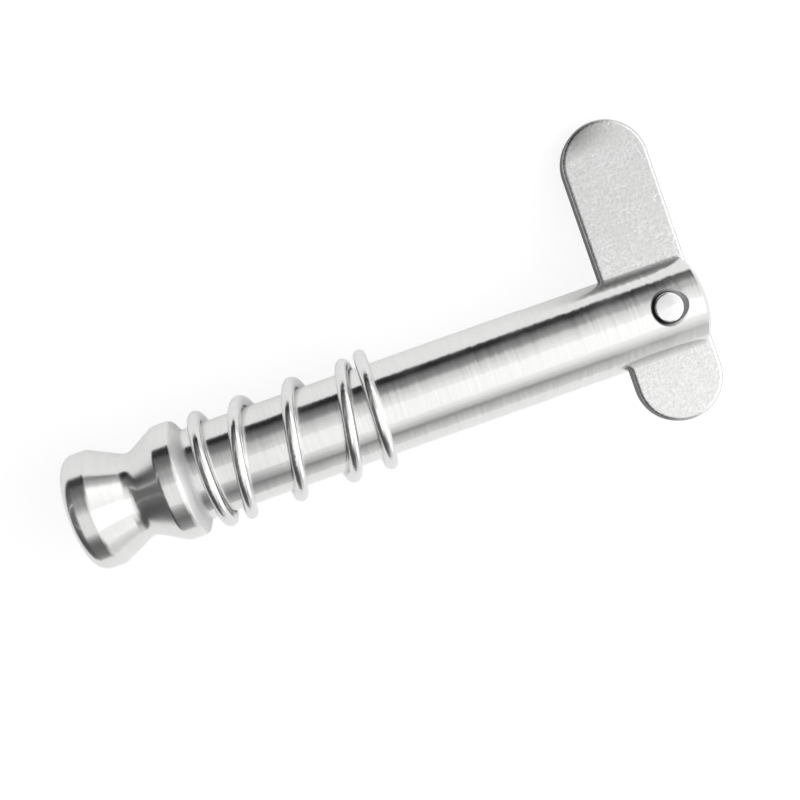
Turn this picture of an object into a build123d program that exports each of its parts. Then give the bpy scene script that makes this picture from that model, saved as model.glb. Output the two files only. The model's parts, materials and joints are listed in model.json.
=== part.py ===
"""Spring toggle pin for a 6.3 mm hole.

A turned pin goes through a hole, its toggle drops square across the slotted tip behind the
far face, and the coil spring beside the collar keeps the joint from rattling.

Frame: the shank's axis is X, its tip points to +X, and the origin is on the axis where the
shank leaves the collar's rounded shoulder. The pieces are drawn with the toggle in the XY plane and its hinge along Z.
Last, all of them are rolled about X until the toggle's long end reaches the surface that the
pin lies on, which is how a loose one comes to rest.
"""
import math
import os

from build123d import *

# ---- driving dimensions, in millimetres and degrees ----
# head, neck and collar, turned in one piece with the shank
head_diameter = 8.0
head_length = 8.02
lip_length = 1.65
lip_outer_round = 0.75
lip_inner_round = 0.4
waist_corner_diameter = 5.56
waist_from_shoulder = 3.87
waist_round = 0.9
collar_length = 1.7
collar_neck_round = 0.4
shoulder_bevel = 0.45
shoulder_round = 0.46
shoulder_root_round = 0.3

# shank and the slot that the toggle swings in
shank_diameter = 6.3
shank_length = 34.95
tip_chamfer = 0.3
slot_width = 1.25
slot_start = 23.85
saw_radius = 31.5

# cross hole and rivet
pivot_from_shoulder = 32.45
rivet_diameter = 2.0
hole_mouth_diameter = 2.5
hole_mouth_depth = 0.25
rivet_crown = 0.12
rivet_edge_round = 0.2

# toggle, blanked from sheet and tumbled
toggle_thickness = 1.0
toggle_width = 5.84
toggle_long_end = 13.3
toggle_short_end = 7.5
toggle_edge_round = 0.3
toggle_hole_clearance = 0.05

# compression spring, wound left-handed
wire_diameter = 0.85
spring_bore = 6.4
# how far the wire's centre is from the shoulder at each half turn
half_turn_stations = (1.12, 1.20, 1.24, 2.64, 4.34, 6.12, 8.02, 9.86, 11.60, 12.50, 12.86, 13.34)
first_turn = 0.35
last_turn = 5.35
free_turn_slack = 0.1
points_per_turn = 16

# ---- values that follow from them ----
head_radius = head_diameter / 2
shank_radius = shank_diameter / 2
waist_corner_radius = waist_corner_diameter / 2
rivet_radius = rivet_diameter / 2
wire_radius = wire_diameter / 2
coil_radius = spring_bore / 2 + wire_radius
spring_outer_radius = coil_radius + wire_radius


def pin_body():
    """The turned blank: rounded lip, waisted neck, collar and shank, then slot and cross hole."""
    lip_inner_corner = -head_length + lip_length
    outline = Polyline(
        (-head_length, 0),
        (-head_length, head_radius),
        (lip_inner_corner, head_radius),
        (-waist_from_shoulder, waist_corner_radius),
        (-collar_length, head_radius),
        (-shoulder_bevel, head_radius),
        (0, shank_radius),
        (shank_length, shank_radius),
        (shank_length, 0),
        close=True,
    )
    profile = make_face(outline)
    rounds = (
        (-head_length, head_radius, lip_outer_round),
        (lip_inner_corner, head_radius, lip_inner_round),
        (-waist_from_shoulder, waist_corner_radius, waist_round),
        (-collar_length, head_radius, collar_neck_round),
        (-shoulder_bevel, head_radius, shoulder_round),
        (0, shank_radius, shoulder_root_round),
    )
    for x, radius, size in rounds:
        profile = fillet(nearest_corner(profile, x, radius), size)
    profile = chamfer(nearest_corner(profile, shank_length, shank_radius), tip_chamfer)
    blank = revolve(profile, axis=Axis.X)
    return blank - toggle_slot() - cross_hole()


def nearest_corner(profile, x, y):
    """The profile's corner at a place."""
    return profile.vertices().sort_by_distance((x, y, 0))[0]


def toggle_slot():
    """The cut of a slitting saw fed in along the axis, so its floor follows the saw's rim."""
    saw_centre = slot_start + saw_radius
    saw = Pos(saw_centre, 0, 0) * Cylinder(saw_radius, slot_width)
    reach = shank_length - slot_start
    past_tip = Pos(slot_start + 1.5 * reach, 0, 0) * Box(reach + 2, shank_diameter + 1, slot_width)
    return saw + past_tip


def cross_hole():
    """The rivet's hole through both ears, with its two mouths countersunk."""
    mouth_radius = hole_mouth_diameter / 2
    mouth_floor = shank_radius - hole_mouth_depth
    hole = Cylinder(rivet_radius, shank_diameter + 1)
    flare = (mouth_radius - rivet_radius) / hole_mouth_depth
    cone_length = 2 * hole_mouth_depth
    cone = Cone(rivet_radius, rivet_radius + flare * cone_length, cone_length)
    mouth = Pos(0, 0, mouth_floor + cone_length / 2) * cone
    other_mouth = Rot(X=180) * mouth
    return Pos(pivot_from_shoulder, 0, 0) * (hole + mouth + other_mouth)


def rivet():
    """A plain pin across both ears, its ends a little crowned and rounded over, flush with the shank."""
    crown_radius = (rivet_radius**2 + rivet_crown**2) / (2 * rivet_crown)
    crown_centre = shank_radius - crown_radius
    body = Cylinder(rivet_radius, shank_diameter)
    body &= Pos(0, 0, crown_centre) * Sphere(crown_radius)
    body &= Pos(0, 0, -crown_centre) * Sphere(crown_radius)
    rims = [edge for edge in body.edges() if abs(abs(edge.center().Z) - (shank_radius - rivet_crown)) < 0.001]
    return Pos(pivot_from_shoulder, 0, 0) * fillet(rims, rivet_edge_round)


def toggle():
    """An obround plate with full round ends, hinged off its middle so that one end is heavier."""
    end_radius = toggle_width / 2
    centre_to_centre = toggle_long_end + toggle_short_end - toggle_width
    middle = (toggle_long_end - toggle_short_end) / 2
    blank = Pos(0, middle) * Rot(Z=90) * SlotCenterToCenter(centre_to_centre, 2 * end_radius)
    hole = Circle(rivet_radius + toggle_hole_clearance)
    plate = extrude(blank - hole, toggle_thickness / 2, both=True)
    outer_edges = [edge for edge in plate.edges() if edge.distance_to((0, 0, 0)) > end_radius - 0.01]
    rim = [edge for edge in outer_edges if abs(abs(edge.center().Z) - toggle_thickness / 2) < 0.001]
    plate = fillet(rim, toggle_edge_round)
    return Pos(pivot_from_shoulder, 0, 0) * plate


def wire_centre(turn):
    """A point on the spring's wire. Whole turns are on the toggle's long side (+Y)."""
    half_turns = 2 * turn
    station = min(int(math.floor(half_turns)), len(half_turn_stations) - 2)
    along = hermite(
        half_turn_stations[station],
        half_turn_stations[station + 1],
        station_slope(station),
        station_slope(station + 1),
        half_turns - station,
    )
    slack = free_turn_slack * smooth_step((turn - (last_turn - 1.1)) / 0.5)
    radius = coil_radius + slack
    angle = 2 * math.pi * turn
    across = radius * math.cos(angle) + slack
    depth = -radius * math.sin(angle)
    return along, across, depth


def station_slope(station):
    """The coil's advance per half turn at a station, never steeper than twice the flatter side."""
    if station in (0, len(half_turn_stations) - 1):
        return 0.0
    before = half_turn_stations[station] - half_turn_stations[station - 1]
    after = half_turn_stations[station + 1] - half_turn_stations[station]
    return 2 * before * after / (before + after)


def hermite(start, end, slope_in, slope_out, share):
    """A cubic from start to end with the given slopes."""
    square = share * share
    cube = square * share
    value = start * (2 * cube - 3 * square + 1)
    value += end * (3 * square - 2 * cube)
    value += slope_in * (cube - 2 * square + share)
    value += slope_out * (cube - square)
    return value


def smooth_step(share):
    """0 before 0, 1 after 1, and an even rise between."""
    share = min(max(share, 0.0), 1.0)
    return share * share * (3 - 2 * share)


def spring():
    """Round wire swept along the coil, with both ends closed up and cut off square."""
    count = round((last_turn - first_turn) * points_per_turn)
    turns = [first_turn + (last_turn - first_turn) * i / count for i in range(count + 1)]
    path = Spline(*[wire_centre(turn) for turn in turns])
    section = Plane(path @ 0, z_dir=path % 0) * Circle(wire_radius)
    return sweep(section, path=path, is_frenet=True)


def lie_angle():
    """The roll that brings the long end's lower edge level with the underside of the spring."""
    low, high = 0.0, 45.0
    arm = toggle_long_end - toggle_edge_round
    half_thickness = toggle_thickness / 2 - toggle_edge_round
    for _ in range(60):
        angle = math.radians((low + high) / 2)
        reach = arm * math.sin(angle) + half_thickness * math.cos(angle) + toggle_edge_round
        if reach < spring_outer_radius:
            low = (low + high) / 2
        else:
            high = (low + high) / 2
    return (low + high) / 2


def main():
    """Build every piece, roll it to the lying pose and write one STEP file for each."""
    os.makedirs("parts", exist_ok=True)
    roll = lie_angle()
    pieces = {
        "pin_body": pin_body(),
        "spring": spring(),
        "toggle": toggle(),
        "rivet": rivet(),
    }
    for name, solid in pieces.items():
        laid = Rot(X=-roll) * solid
        export_step(laid, f"parts/{name}.step")
        print(name, round(solid.volume, 3), solid.is_valid)
    print("roll about the shank", round(roll, 4))
    path_length = math.pi * 2 * coil_radius * (last_turn - first_turn)
    print("wire volume by length", round(path_length * math.pi * wire_radius**2, 2))


main()
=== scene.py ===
# %% [markdown]
# # A spring toggle pin, dressed for the studio
#
# A turned stainless pin goes through a hole, and a flat toggle drops square across its slotted
# tip so that it can't be pulled back. A short coil spring beside the collar takes up the play.
# The four solids come from the construction model, and their size and place stay as they are,
# so this lesson is about light and finish: how four ways of making steel look different, and
# how a studio is laid out round a shiny thing.

# %% Load the frame and keep its size
import json
import math

import bpy
from mathutils import Matrix, Vector


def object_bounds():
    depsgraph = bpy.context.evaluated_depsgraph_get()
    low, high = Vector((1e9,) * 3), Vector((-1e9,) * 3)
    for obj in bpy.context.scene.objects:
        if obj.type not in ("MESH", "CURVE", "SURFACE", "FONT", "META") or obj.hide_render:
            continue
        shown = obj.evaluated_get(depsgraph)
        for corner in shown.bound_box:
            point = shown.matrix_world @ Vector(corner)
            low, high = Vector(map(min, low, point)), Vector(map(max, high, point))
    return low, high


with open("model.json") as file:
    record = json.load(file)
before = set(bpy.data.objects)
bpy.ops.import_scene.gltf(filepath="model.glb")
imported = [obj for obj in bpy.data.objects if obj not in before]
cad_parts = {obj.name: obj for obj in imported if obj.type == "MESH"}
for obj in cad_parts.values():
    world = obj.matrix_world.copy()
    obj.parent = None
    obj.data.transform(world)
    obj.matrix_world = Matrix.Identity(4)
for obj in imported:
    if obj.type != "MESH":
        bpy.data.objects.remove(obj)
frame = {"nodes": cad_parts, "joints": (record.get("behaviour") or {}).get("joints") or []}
cad_low, cad_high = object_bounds()
bpy.ops.object.select_all(action="DESELECT")

MM = 0.001
print("nodes", sorted(frame["nodes"]))
print("size in mm", [round((b - a) / MM, 2) for a, b in zip(cad_low, cad_high)])

# %% [markdown]
# ## Small helpers
#
# Colours are written as the hex values that a colour picker shows, and the shader wants linear
# light, so one function turns the first into the second. A second function adds a node, sets
# it up and links its inputs in one go, so that a material below reads like a recipe.

# %% Colour and node helpers
def linear(hex_colour):
    """A linear RGBA colour from an sRGB hex value."""
    channels = [int(hex_colour[i:i + 2], 16) / 255 for i in (1, 3, 5)]
    return [c / 12.92 if c <= 0.04045 else ((c + 0.055) / 1.055) ** 2.4 for c in channels] + [1.0]


def add_node(tree, kind, inputs=None, **settings):
    """A node with its settings. An input is given a value or linked from another node's output."""
    node = tree.nodes.new(kind)
    for name, value in settings.items():
        setattr(node, name, value)
    for name, value in (inputs or {}).items():
        if isinstance(value, bpy.types.NodeSocket):
            tree.links.new(value, node.inputs[name])
        else:
            node.inputs[name].default_value = value
    return node


def new_material(name):
    """An empty node material and its tree."""
    material = bpy.data.materials.new(name)
    material.use_nodes = True
    material.node_tree.nodes.clear()
    return material, material.node_tree


print("mid grey is", round(linear("#808080")[0], 3), "in linear light")

# %% [markdown]
# The steps that come up again and again get a name of their own: arithmetic, a mix of two
# colours, a value stretched from one range to another, a noise and a bump. The sizes of noises
# and the depths of bumps are lengths in the model's own metres.

# %% Steps that every finish is made of
def maths(tree, operation, *values):
    """One step of arithmetic on numbers."""
    return add_node(tree, "ShaderNodeMath", dict(enumerate(values)), operation=operation).outputs[0]


def vector_maths(tree, operation, *values):
    """One step of arithmetic on vectors. A length and a dot product are numbers."""
    node = add_node(tree, "ShaderNodeVectorMath", dict(enumerate(values)), operation=operation)
    gives_number = operation in ("LENGTH", "DOT_PRODUCT")
    return node.outputs["Value" if gives_number else "Vector"]


def scaled(tree, vector, factor):
    """A vector made longer or shorter."""
    inputs = {0: vector, "Scale": factor}
    return add_node(tree, "ShaderNodeVectorMath", inputs, operation="SCALE").outputs["Vector"]


def ranged(tree, value, start, end, low=0.0, high=1.0, **settings):
    """A value stretched so that start becomes low and end becomes high, and held beyond them."""
    inputs = {"Value": value, "From Min": start, "From Max": end, "To Min": low, "To Max": high}
    return add_node(tree, "ShaderNodeMapRange", inputs, **settings).outputs["Result"]


def mixed(tree, factor, first, second):
    """The first colour where the factor is 0 and the second where it is 1."""
    inputs = {"Factor": factor, "A": first, "B": second}
    return add_node(tree, "ShaderNodeMix", inputs, data_type="RGBA").outputs["Result"]


def noise(tree, place, size, detail, roughness=0.5):
    """An uneven value about 0.5, whose lumps have this size."""
    inputs = {"Vector": place, "Scale": 1 / size, "Detail": detail, "Roughness": roughness}
    return add_node(tree, "ShaderNodeTexNoise", inputs).outputs["Fac"]


def bumped(tree, height, depth):
    """The normal of a surface whose relief has this depth."""
    inputs = {"Height": height, "Strength": 1.0, "Distance": depth}
    return add_node(tree, "ShaderNodeBump", inputs).outputs["Normal"]


print("helpers are ready")

# %% [markdown]
# ## The camera
#
# The pin lies on the table and the camera looks down on it, almost square to the toggle's face,
# from about one and a half times the pin's length away. It is turned about its own line of
# sight so that the shank climbs to the right. The lens is shifted a little, as a view camera's
# is, which moves the pin within the frame without turning the camera.

# %% Place the camera
camera_place = Vector((11.374, 18.328, 64.234)) * MM
camera_aim = Vector((11.383, -1.368, 0.0)) * MM
camera_turn = math.radians(-19.48)

camera_data = bpy.data.cameras.new("studio_camera")
camera_data.sensor_width = 36.0
camera_data.lens = 45.079
camera_data.shift_x = 0.045
camera_data.shift_y = 0.045
camera_data.clip_start = 0.002
camera_data.clip_end = 5.0
camera = bpy.data.objects.new("studio_camera", camera_data)
bpy.context.collection.objects.link(camera)

backward = (camera_place - camera_aim).normalized()
upward = Vector((0, 1, 0))
upward = (upward - backward * upward.dot(backward)).normalized()
upward = Matrix.Rotation(camera_turn, 3, backward) @ upward
rightward = upward.cross(backward)
axes = Matrix((rightward, upward, backward)).transposed()
camera.matrix_world = Matrix.Translation(camera_place) @ axes.to_4x4()
bpy.context.scene.camera = camera
print("camera is", round((camera_place - camera_aim).length / MM, 1), "mm from its aim")

# %% [markdown]
# ## The table
#
# A shiny thing shows its surroundings more than itself, so the table is part of the finish. It
# is plain white paper. The camera sees mostly a steady white, and the steel sees mostly lit
# paper with a little steady white. The lit share is what takes the pin's soft shadow.

# %% Lay the paper
paper_half = 0.6
bpy.ops.mesh.primitive_plane_add(size=2 * paper_half, location=(0, 0, cad_low.z))
paper = bpy.context.active_object
paper.name = "paper"
bpy.ops.object.transform_apply(location=True, rotation=False, scale=False)


def half_lit_paper(tree, lit_share, steady_share):
    """White paper that is partly lit, so it takes a shadow, and partly a steady white."""
    lit = add_node(tree, "ShaderNodeBsdfDiffuse", {"Color": [lit_share] * 3 + [1.0]})
    glow = {"Color": linear("#FFFFFF"), "Strength": steady_share}
    steady = add_node(tree, "ShaderNodeEmission", glow)
    return add_node(tree, "ShaderNodeAddShader", {0: lit.outputs[0], 1: steady.outputs[0]}).outputs[0]


paper_finish, tree = new_material("matt_white_paper")
rays = add_node(tree, "ShaderNodeLightPath")
mirrored = maths(tree, "MAXIMUM", rays.outputs["Is Glossy Ray"], rays.outputs["Is Transmission Ray"])
plain = add_node(tree, "ShaderNodeBsdfDiffuse", {"Color": linear("#F4F4F4")})
seen_in_steel = half_lit_paper(tree, 0.85, 0.27)
seen_in_camera = half_lit_paper(tree, 0.25, 0.84)
in_steel = add_node(tree, "ShaderNodeMixShader", {0: mirrored, 1: plain.outputs[0], 2: seen_in_steel})
in_camera = add_node(tree, "ShaderNodeMixShader", {
    0: rays.outputs["Is Camera Ray"], 1: in_steel.outputs[0], 2: seen_in_camera})
add_node(tree, "ShaderNodeOutputMaterial", {"Surface": in_camera.outputs[0]})
paper.data.materials.append(paper_finish)
print("paper lies at z", round(cad_low.z / MM, 3), "mm")

# %% [markdown]
# ## The studio's light
#
# One long softbox hangs overhead, a little to the near side, and runs out far past the tip. It
# makes the middle of the long white band on every round surface and the soft shadow on the
# paper. It ends soon after the head, so whatever leans well towards the head turns dark, which
# draws a crisp edge on each coil and on the neck.

# %% Hang the softbox
softbox_height = 150 * MM
softbox_near, softbox_far = -26.0, 16.0
softbox_head, softbox_tip = -19.0, 62.0
softbox_radiance = 0.47


def softbox_reach(degrees):
    """How far from straight above an edge of the softbox is, seen from the pin at this angle."""
    return softbox_height * math.tan(math.radians(degrees))


def soft_lamp(name, length, width, radiance):
    """A flat rectangular lamp that the camera doesn't see. It shines down until it is turned."""
    data = bpy.data.lights.new(name, "AREA")
    data.shape = "RECTANGLE"
    data.size = length
    data.size_y = width
    data.energy = radiance * math.pi * length * width
    lamp = bpy.data.objects.new(name, data)
    bpy.context.collection.objects.link(lamp)
    lamp.visible_camera = False
    return lamp


softbox_middle = (softbox_near + softbox_far) / 2
softbox_spread = softbox_far - softbox_near
softbox_width = 2 * softbox_reach(softbox_spread / 2)
softbox_length = softbox_reach(softbox_tip) - softbox_reach(softbox_head)
softbox = soft_lamp("softbox", softbox_length, softbox_width, softbox_radiance)
lean = math.radians(softbox_middle)
pin_middle = (cad_low.x + cad_high.x) / 2
along = pin_middle + (softbox_reach(softbox_tip) + softbox_reach(softbox_head)) / 2
softbox.location = (along, math.sin(lean) * softbox_height, math.cos(lean) * softbox_height)
softbox.rotation_euler = (-lean, 0, 0)
print("softbox", round(softbox_length / MM), "x", round(softbox_width / MM), "mm")

# %% [markdown]
# A second, upright panel stands past the tip. The surfaces that face it are the collar's rounded
# shoulder, the tip side of each coil and the cone under the lip, and it keeps them bright.

# %% Stand a panel past the tip
panel_far = 150 * MM
panel_height, panel_width = 170 * MM, 600 * MM
panel_above_paper = 12 * MM
panel_radiance = 0.7
panel = soft_lamp("tip_panel", panel_height, panel_width, panel_radiance)
panel.location = (cad_high.x + panel_far, 0, cad_low.z + panel_height / 2 + panel_above_paper)
panel.rotation_euler = (0, math.radians(90), 0)
print("panel is", round(panel_far / MM), "mm past the tip")

# %% [markdown]
# The rest of the room is painted by direction. A direction is told by its angle round the
# shank's line, from straight up and rising towards the far side, and by how far it leans along
# the shank. There are five sets of bands. From the tip to the head they are nearly white past
# the tip, the long bands beside the shank, a narrow dim gap that darkens the shank's root, the
# bands beside the head, and a dark room with a few grey streaks past it. They fade into each
# other where the lean changes. Beside the shank the paint behind the softbox is greyer, because
# a lamp's light is added to what is behind it. The tones beside the shank started from the
# brightness measured across a real pin's shank. They and the others were then adjusted
# until the reflections looked like that pin's from this one viewpoint.

# %% Paint the room
beside_shank = (
    (-92, "#E8E8E8"), (-84, "#DADADA"), (-72, "#C6C6C6"), (-61, "#AAAAAA"), (-57, "#8E8E8E"),
    (-53, "#AEAEAE"), (-49, "#D0D0D0"), (-43, "#DADADA"), (-37, "#F4F4F4"), (-31, "#FFFFFF"),
    (-26.3, "#FFFFFF"), (-25.7, "#D8D8D8"), (15.7, "#D8D8D8"), (16.3, "#FFFFFF"), (24, "#FDFDFD"),
    (30, "#F0F0F0"), (36, "#E6E6E6"), (43, "#DCDCDC"), (48, "#ACACAC"), (53, "#8C8C8C"),
    (60, "#7C7C7C"), (67, "#686868"), (72, "#444444"), (76, "#1C1C1C"), (92, "#181818"),
)
dim_gap = (
    (-92, "#C0C0C0"), (-84, "#ACACAC"), (-64, "#7C7C7C"), (-47, "#666666"), (-30, "#6C6C6C"),
    (-24, "#303030"), (14, "#303030"), (20, "#A0A0A0"), (36, "#9C9C9C"), (46, "#8C8C8C"),
    (58, "#6C6C6C"), (72, "#4C4C4C"), (76, "#242424"), (92, "#202020"),
)
beside_head = (
    (-92, "#A0A0A0"), (-80, "#6C6C6C"), (-52, "#5C5C5C"), (-42, "#6C6C6C"), (-34, "#B0B0B0"),
    (-25, "#FFFFFF"), (14, "#FFFFFF"), (22, "#D0D0D0"), (30, "#A0A0A0"), (44, "#808080"),
    (70, "#646464"), (75, "#303030"), (92, "#2C2C2C"),
)
past_head = (
    (-92, "#787878"), (-70, "#505050"), (-42, "#4C4C4C"), (-36, "#606060"), (-14, "#666666"),
    (-8, "#9C9C9C"), (-2, "#6C6C6C"), (36, "#6A6A6A"), (44, "#D8D8D8"), (48, "#747474"),
    (72, "#4C4C4C"), (92, "#3C3C3C"),
)
past_tip = (
    (-90, "#E8E8E8"), (-60, "#F8F8F8"), (40, "#FFFFFF"), (64, "#E0E0E0"), (70, "#8A8A8A"),
    (92, "#707070"),
)


def band_ramp(tree, share, bands):
    """A colour ramp over the full circle, from bands written in degrees."""
    node = add_node(tree, "ShaderNodeValToRGB", {"Fac": share})
    stops = node.color_ramp.elements
    stops.remove(stops[1])
    stops[0].position, stops[0].color = bands[0][0] / 360 + 0.5, linear(bands[0][1])
    for degrees, colour in bands[1:]:
        stops.new(degrees / 360 + 0.5).color = linear(colour)
    return node.outputs["Color"]


room = bpy.data.worlds.new("studio_room")
bpy.context.scene.world = room
room.use_nodes = True
tree = room.node_tree
tree.nodes.clear()
towards = add_node(tree, "ShaderNodeTexCoord").outputs["Generated"]
parts = add_node(tree, "ShaderNodeSeparateXYZ", {0: towards})
angle = maths(tree, "ARCTAN2", parts.outputs["Y"], parts.outputs["Z"])
share = ranged(tree, angle, -math.pi, math.pi)
painted = band_ramp(tree, share, beside_shank)
changes = (
    (dim_gap, -0.10, -0.135),
    (beside_head, -0.185, -0.22),
    (past_head, -0.36, -0.46),
    (past_tip, 0.33, 0.43),
)
for bands, fades_from, full_at in changes:
    lean_share = ranged(tree, parts.outputs["X"], fades_from, full_at, interpolation_type="SMOOTHSTEP")
    painted = mixed(tree, lean_share, painted, band_ramp(tree, share, bands))
rays = add_node(tree, "ShaderNodeLightPath")
studio = add_node(tree, "ShaderNodeBackground", {"Color": painted, "Strength": 1.0})
backdrop = add_node(tree, "ShaderNodeBackground", {"Color": linear("#FFFFFF"), "Strength": 1.0})
shown = add_node(tree, "ShaderNodeMixShader", {
    0: rays.outputs["Is Camera Ray"], 1: studio.outputs[0], 2: backdrop.outputs[0]})
add_node(tree, "ShaderNodeOutputWorld", {"Surface": shown.outputs[0]})
print("room painted with", len(beside_shank) + sum(len(bands) for bands, *_ in changes), "bands")

# %% [markdown]
# ## Where the hinge is
#
# Three painted shades, and the mouth's extra roughness, change with the distance from the rivet:
# the mouth of its hole, its own rim and the toggle's long end. All of them ask how far a point is
# from the hinge's line, and the hinge's place and direction come from the frame.

# %% Distance from the hinge, and putting a metal on a piece
hinge_place = tuple(frame["joints"][0]["pos_m"])
hinge_axis = tuple(frame["joints"][0]["axis"])


def hinge_distance(tree, place):
    """How far a point is from the line that the toggle turns about."""
    offset = vector_maths(tree, "SUBTRACT", place, hinge_place)
    across = vector_maths(tree, "CROSS_PRODUCT", offset, hinge_axis)
    return vector_maths(tree, "LENGTH", across)


def finish_metal(tree, tone, roughness, normal, **more):
    """Bare metal with this tone, roughness and normal, as the tree's surface."""
    inputs = {"Base Color": tone, "Metallic": 1.0, "Roughness": roughness, "Normal": normal}
    inputs.update(more)
    metal = add_node(tree, "ShaderNodeBsdfPrincipled", inputs)
    add_node(tree, "ShaderNodeOutputMaterial", {"Surface": metal.outputs[0]})


def dress(node_name, material):
    """A CAD node takes this material in every slot."""
    node = frame["nodes"][node_name]
    for slot in node.material_slots:
        slot.material = material
    print(node_name, "has", len(node.material_slots), "slot in", material.name)


print("the hinge is", round(hinge_place[0] / MM, 2), "mm from the shoulder")

# %% [markdown]
# ## Turned stainless steel
#
# The pin's body was turned from bar and polished while it still ran in the lathe, so its only
# texture is very fine rings round the axis. A ring's place is the distance along the axis plus
# the distance from it, which draws rings on a cylinder, a cone and a flat end alike. Real feed
# is about 0.08 mm a turn, too fine to show, so the rings here come at about 0.2 mm.
#
# Rings smear a reflection across themselves and keep it sharp along themselves, and that is what
# the anisotropic setting does, with its tangent laid across the rings. Each ring is also taken
# to be a little out of round, and more so towards the tip, which feathers the edges of the bands
# in the reflection. So the normal is turned a little round the axis, by a noise that changes
# fast across the rings.
#
# Two places are made rougher, as if they had missed the polishing. The collar's rounded shoulder
# glows evenly from its roughness, and its tone is also raised to pure white, a painted highlight.
# The countersunk mouth of the rivet's hole is rough, and its tone is painted dark, darkest on the
# head's side, a painted shade for the gap round the rivet.

# %% Turned steel for the pin's body
def turned_steel():
    """Polished bar steel with the lathe's fine rings about the X axis."""
    ring_spacing, ring_length, cloud_size = 0.2 * MM, 4 * MM, 2.5 * MM
    ring_depth = 0.001 * MM
    streaks_reach, nudge_at_head, nudge_at_tip = 33 * MM, 0.03, 0.12
    shoulder_middle = -0.15 * MM
    shoulder_extra, mouth_extra = 0.42, 0.2
    material, tree = new_material("turned_stainless")
    coordinates = add_node(tree, "ShaderNodeTexCoord")
    place = coordinates.outputs["Object"]
    parts = add_node(tree, "ShaderNodeSeparateXYZ", {0: place})
    x, y, z = (parts.outputs[name] for name in "XYZ")

    flat = add_node(tree, "ShaderNodeCombineXYZ", {"Y": y, "Z": z}).outputs[0]
    run = maths(tree, "ADD", x, vector_maths(tree, "LENGTH", flat))
    across = add_node(tree, "ShaderNodeCombineXYZ", {"X": run}).outputs[0]
    ring_place = vector_maths(tree, "ADD", scaled(tree, flat, ring_spacing / ring_length), across)
    rings = noise(tree, ring_place, ring_spacing, 3.0, 0.6)

    minus_z = maths(tree, "MULTIPLY", z, -1.0)
    circling = add_node(tree, "ShaderNodeCombineXYZ", {"Y": minus_z, "Z": y}).outputs[0]
    round_axis = vector_maths(tree, "NORMALIZE", circling)
    across_rings = vector_maths(tree, "CROSS_PRODUCT", coordinates.outputs["Normal"], round_axis)
    towards_tip = ranged(tree, x, 0.0, streaks_reach, nudge_at_head, nudge_at_tip)
    turned_by = maths(tree, "MULTIPLY", maths(tree, "ADD", rings, -0.5), towards_tip)
    nudge = scaled(tree, round_axis, turned_by)
    nudged = vector_maths(tree, "ADD", bumped(tree, rings, ring_depth), nudge)
    normal = vector_maths(tree, "NORMALIZE", nudged)

    off_shoulder = maths(tree, "ABSOLUTE", maths(tree, "ADD", x, -shoulder_middle))
    shoulder = ranged(tree, off_shoulder, 0.5 * MM, 0.25 * MM, 0.0, shoulder_extra)
    mouth = ranged(tree, hinge_distance(tree, place), 1.27 * MM, 1.17 * MM)
    sheen = ranged(tree, noise(tree, place, cloud_size, 3.0), 0.3, 0.7, 0.16, 0.22)
    rough = maths(tree, "MULTIPLY_ADD", mouth, mouth_extra, maths(tree, "ADD", sheen, shoulder))

    tone = mixed(tree, rings, linear("#E2E2E1"), linear("#F2F2F1"))
    # The rounded shoulder's tone is raised to pure white: a painted highlight.
    tone = mixed(tree, shoulder, tone, linear("#FFFFFF"))
    # The mouth of the rivet's hole is painted dark, darkest on the head's side: a painted shade.
    tip_side = ranged(tree, x, hinge_place[0] - 0.8 * MM, hinge_place[0] + 0.8 * MM)
    mouth_painted_shade = mixed(tree, tip_side, linear("#303030"), linear("#D8D8D8"))
    tone = mixed(tree, mouth, tone, mouth_painted_shade)
    finish_metal(tree, tone, rough, normal, Anisotropic=0.8, Tangent=across_rings)
    return material


dress("pin_body", turned_steel())

# %% [markdown]
# ## Drawn spring wire
#
# The wire was pulled through a die, which leaves it smooth and bright with the faintest
# unevenness. It has no rings to smear a reflection, so each coil shows the dark room past the
# head on one side and the white panel on the other.

# %% Drawn wire for the spring
def drawn_wire():
    """Bright hard-drawn wire."""
    cloud_size, draw_depth = 0.8 * MM, 0.004 * MM
    material, tree = new_material("drawn_stainless_wire")
    place = add_node(tree, "ShaderNodeTexCoord").outputs["Object"]
    clouds = noise(tree, place, cloud_size, 4.0)
    sheen = ranged(tree, clouds, 0.3, 0.7, 0.15, 0.22)
    tone = mixed(tree, clouds, linear("#E0E0DF"), linear("#F2F2F2"))
    finish_metal(tree, tone, sheen, bumped(tree, clouds, draw_depth))
    return material


dress("spring", drawn_wire())
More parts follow.
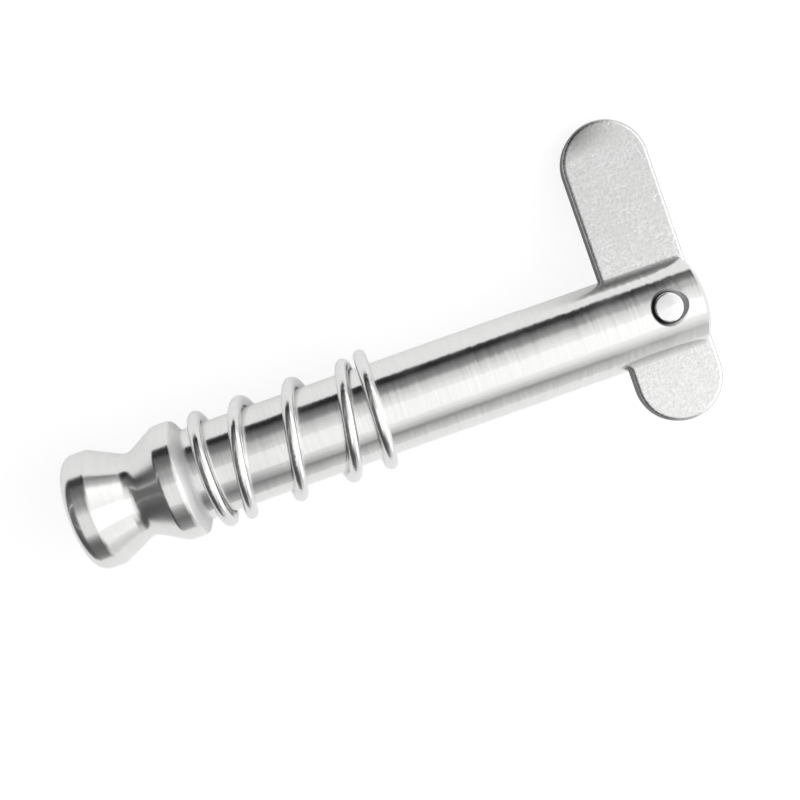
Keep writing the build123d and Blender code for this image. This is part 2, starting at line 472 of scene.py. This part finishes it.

# %% [markdown]
# ## Tumbled plate
#
# The toggle was blanked from sheet and tumbled in a barrel of stones, which rounds its edges
# and leaves its two faces a mottled grey with small dings and hairlines. The hairlines are painted
# a little lighter, a painted glint. The rounded long end is painted darker on the side that faces
# the head, a painted shade for the dark reflection along that rounded edge. The cut edge round the
# plate was torn by the press tool, so it stays rougher than the faces, and its tone is set darker
# than theirs. Which of the two a point belongs to is read from how square its surface is to the
# toggle's hinge.

# %% Tumbled plate for the toggle
def tumbled_plate():
    """Stone-tumbled sheet steel, matt and mottled on its faces and darker on its sheared edge."""
    grain_size, cloud_size, ding_size, scratch_width = 0.22 * MM, 1.4 * MM, 0.55 * MM, 0.25 * MM
    relief_depth = 0.02 * MM
    scratch_turn, scratch_stretch = math.radians(35), 0.12
    hairline_height, hairline_shine, ding_height = -0.25, 0.12, -0.5
    material, tree = new_material("tumbled_stainless_plate")
    coordinates = add_node(tree, "ShaderNodeTexCoord")
    place = coordinates.outputs["Object"]
    x = add_node(tree, "ShaderNodeSeparateXYZ", {0: place}).outputs["X"]
    grain = noise(tree, place, grain_size, 3.0, 0.6)
    clouds = noise(tree, place, cloud_size, 4.0)
    scratch_place = add_node(tree, "ShaderNodeMapping", {
        "Vector": place, "Rotation": (0, 0, scratch_turn), "Scale": (scratch_stretch, 1.0, 1.0)}).outputs[0]
    hairline = ranged(tree, noise(tree, scratch_place, scratch_width, 2.0), 0.62, 0.72)
    ding = ranged(tree, noise(tree, place, ding_size, 1.0), 0.68, 0.76)
    square_on = maths(tree, "ABSOLUTE", vector_maths(
        tree, "DOT_PRODUCT", coordinates.outputs["Normal"], hinge_axis))
    face = ranged(tree, square_on, 0.25, 0.75, interpolation_type="SMOOTHSTEP")

    relief = maths(tree, "MULTIPLY_ADD", hairline, hairline_height, grain)
    relief = maths(tree, "MULTIPLY_ADD", ding, ding_height, relief)

    mottle = mixed(tree, grain, linear("#B2B2B1"), linear("#FFFFFF"))
    patch = ranged(tree, clouds, 0.3, 0.7, 0.0, 0.7)
    face_tone = mixed(tree, patch, mottle, linear("#D8D8D7"))
    # The hairlines are painted a little lighter: a painted glint.
    face_tone = mixed(tree, maths(tree, "MULTIPLY", hairline, hairline_shine), face_tone, linear("#FFFFFF"))
    # The long end is painted darker on the head's side: a painted shade for its rounded edge.
    long_end = ranged(tree, hinge_distance(tree, place), 11.3 * MM, 13.2 * MM)
    head_side = ranged(tree, x, hinge_place[0] + 1.5 * MM, hinge_place[0] - 1.5 * MM)
    painted_end_shade = maths(tree, "MULTIPLY", long_end, head_side)
    face_tone = mixed(tree, painted_end_shade, face_tone, linear("#5C5C5B"))
    tone = mixed(tree, face, linear("#6E6E6D"), face_tone)
    sheen = ranged(tree, face, 0.0, 1.0, 0.45, 0.26)
    finish_metal(tree, tone, sheen, bumped(tree, relief, relief_depth))
    return material


dress("toggle", tumbled_plate())

# %% [markdown]
# ## Ground rivet
#
# The rivet is a short piece of ground rod. Its ends were dressed flush with the ears, so they
# are nearly as bright as the shank round them. Their rounded rims are painted a dull grey, a
# painted shade for the gap round the rivet, which leaves a darker ring round it.

# %% Ground steel for the rivet
def ground_rod():
    """Ground rod steel, its ends lightly dressed."""
    grain_size, grain_depth = 0.3 * MM, 0.002 * MM
    material, tree = new_material("ground_stainless_rod")
    place = add_node(tree, "ShaderNodeTexCoord").outputs["Object"]
    grain = noise(tree, place, grain_size, 3.0)
    sheen = ranged(tree, grain, 0.3, 0.7, 0.14, 0.24)
    # The rivet's rim is painted a dull grey: a painted shade for the gap round it.
    rim = ranged(tree, hinge_distance(tree, place), 0.92 * MM, 0.98 * MM)
    tone = mixed(tree, rim, mixed(tree, grain, linear("#E2E2E2"), linear("#F0F0F0")), linear("#8A8A8A"))
    finish_metal(tree, tone, sheen, bumped(tree, grain, grain_depth))
    return material


dress("rivet", ground_rod())

# %% [markdown]
# ## Colour view
#
# The view transform is the plain one, so that a colour is shown as it is written.

# %% Finish
bpy.context.scene.view_settings.view_transform = "Standard"
